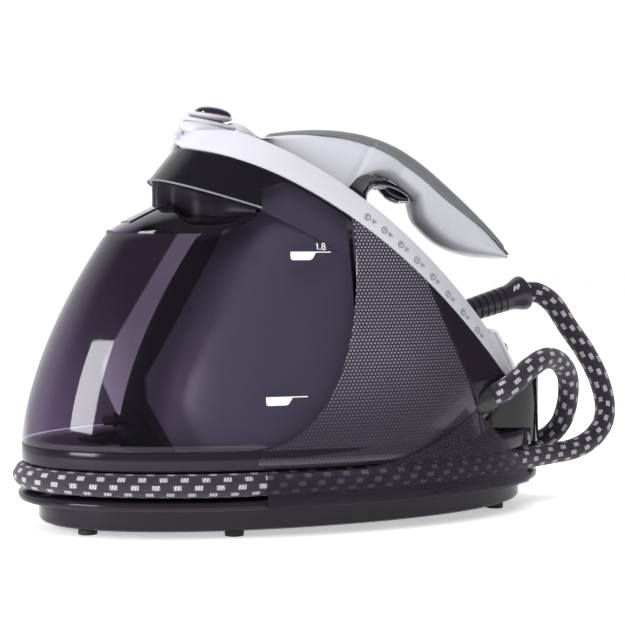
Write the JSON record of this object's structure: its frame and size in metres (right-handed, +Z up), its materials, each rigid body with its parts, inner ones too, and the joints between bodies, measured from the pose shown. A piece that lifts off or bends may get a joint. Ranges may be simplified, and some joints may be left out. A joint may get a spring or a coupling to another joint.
{
  "type": "steam generator iron",
  "caption": "Steam iron resting on the sloping platform of a base station with a detachable water tank and a steam hose lying in the groove round its base.",
  "frame": {"origin": "on the floor under the middle of the station's base rim", "axes": "+Z up; -X is the front, where the tank slides out and the iron's tip points; +X is the rear, where the hose leaves; -Y is the near side"},
  "size_m": [0.5309, 0.2376, 0.331],
  "materials": {
    "plum_plastic": "dark plum moulding, semi gloss",
    "satin_plastic": "grey satin moulding",
    "dotted_panel": "dark panel with a fine hexagonal dot pattern",
    "smoky_cover": "translucent smoky plastic",
    "clear_tank": "transparent purple-grey plastic",
    "black_gloss": "black gloss",
    "white_plastic": "white gloss",
    "grip_grey": "grey soft-touch, ribbed",
    "purple_plastic": "deep purple gloss",
    "black_rubber": "matt black rubber",
    "black_plastic": "matt black",
    "steel": "satin steel",
    "aluminium": "die-cast and polished",
    "brass": "plain brass",
    "board_green": "printed circuit board",
    "eco_green": "green key cap",
    "hose_braid": "dark plum braid with white stitches"
  },
  "bodies": {
    "station": {"base_plinth": "plum_plastic", "base_rim": "plum_plastic", "groove_hub": "plum_plastic", "deck": "plum_plastic", "feet": "black_rubber", "base_screws": "steel", "hose_cover_near": "smoky_cover", "hose_cover_far": "smoky_cover", "core_shell": "satin_plastic", "side_panel_near": "dotted_panel", "side_panel_far": "dotted_panel", "rear_cover": "plum_plastic", "rear_block": "black_plastic", "platform_rim": "white_plastic", "platform_tray": "satin_plastic", "rest_pads": "black_rubber", "lock_housing": "white_plastic", "hose_outlet": "black_plastic", "mains_inlet": "black_rubber", "boiler": "steel", "boiler_clamps": "steel", "pump": "brass", "pump_mounts": "black_rubber", "solenoid_valve": "brass", "control_board": "board_green", "water_port": "aluminium", "hose_station": "hose_braid"},
    "carry_lock": {"carry_lock_slide": "purple_plastic"},
    "power_key": {"power_button": "satin_plastic"},
    "eco_key": {"eco_button": "eco_green"},
    "descale": {"descale_knob": "satin_plastic"},
    "tank": {"tank_shell": "clear_tank", "tank_top": "purple_plastic", "tank_hood": "black_gloss", "tank_seal": "black_rubber"},
    "tank_flap": {"fill_door": "purple_plastic"},
    "iron": {"soleplate": "aluminium", "heater_casting": "aluminium", "heat_shield": "black_plastic", "iron_skirt": "plum_plastic", "handle_shell": "white_plastic", "handle_liner": "purple_plastic", "grip": "grip_grey", "trigger_pin": "steel", "trigger_lugs": "steel", "steam_switch": "black_plastic", "cord_gland": "plum_plastic", "cord_sleeve": "black_rubber", "iron_screws": "steel", "hose_iron": "hose_braid"},
    "steam_trigger": {"trigger": "purple_plastic"}
  },
  "joints": [
    {"name": "iron_lift", "type": "slide", "parent": "station", "child": "iron", "axis": [0.5962, 0, 0.8028], "range_m": [0, 0.09]},
    {"name": "tank_slide", "type": "slide", "parent": "station", "child": "tank", "axis": [-1, 0, 0], "range_m": [0, 0.28]},
    {"name": "fill_door_hinge", "type": "hinge", "parent": "tank", "child": "tank_flap", "pos_m": [-0.141, 0, 0.245], "axis": [0, -1, 0], "range_deg": [0, 140]},
    {"name": "trigger_hinge", "type": "hinge", "parent": "iron", "child": "steam_trigger", "pos_m": [0.08117, 0, 0.27641], "axis": [0, -1, 0], "range_deg": [0, 7], "stiffness_Nm_per_rad": 0.5, "springref_deg": -5.73},
    {"name": "carry_lock_travel", "type": "slide", "parent": "station", "child": "carry_lock", "axis": [0.8028, 0, -0.5962], "range_m": [0, 0.006]},
    {"name": "power_press", "type": "slide", "parent": "station", "child": "power_key", "axis": [-1, 0, 0], "range_m": [0, 0.002], "stiffness_N_per_m": 500, "springref_m": -0.001},
    {"name": "eco_press", "type": "slide", "parent": "station", "child": "eco_key", "axis": [-1, 0, 0], "range_m": [0, 0.002], "stiffness_N_per_m": 500, "springref_m": -0.001},
    {"name": "descale_turn", "type": "hinge", "parent": "station", "child": "descale", "pos_m": [0.15, 0.0808, 0.092], "axis": [0.6018, 0.7986, 0], "range_deg": [0, 90]}
  ]
}
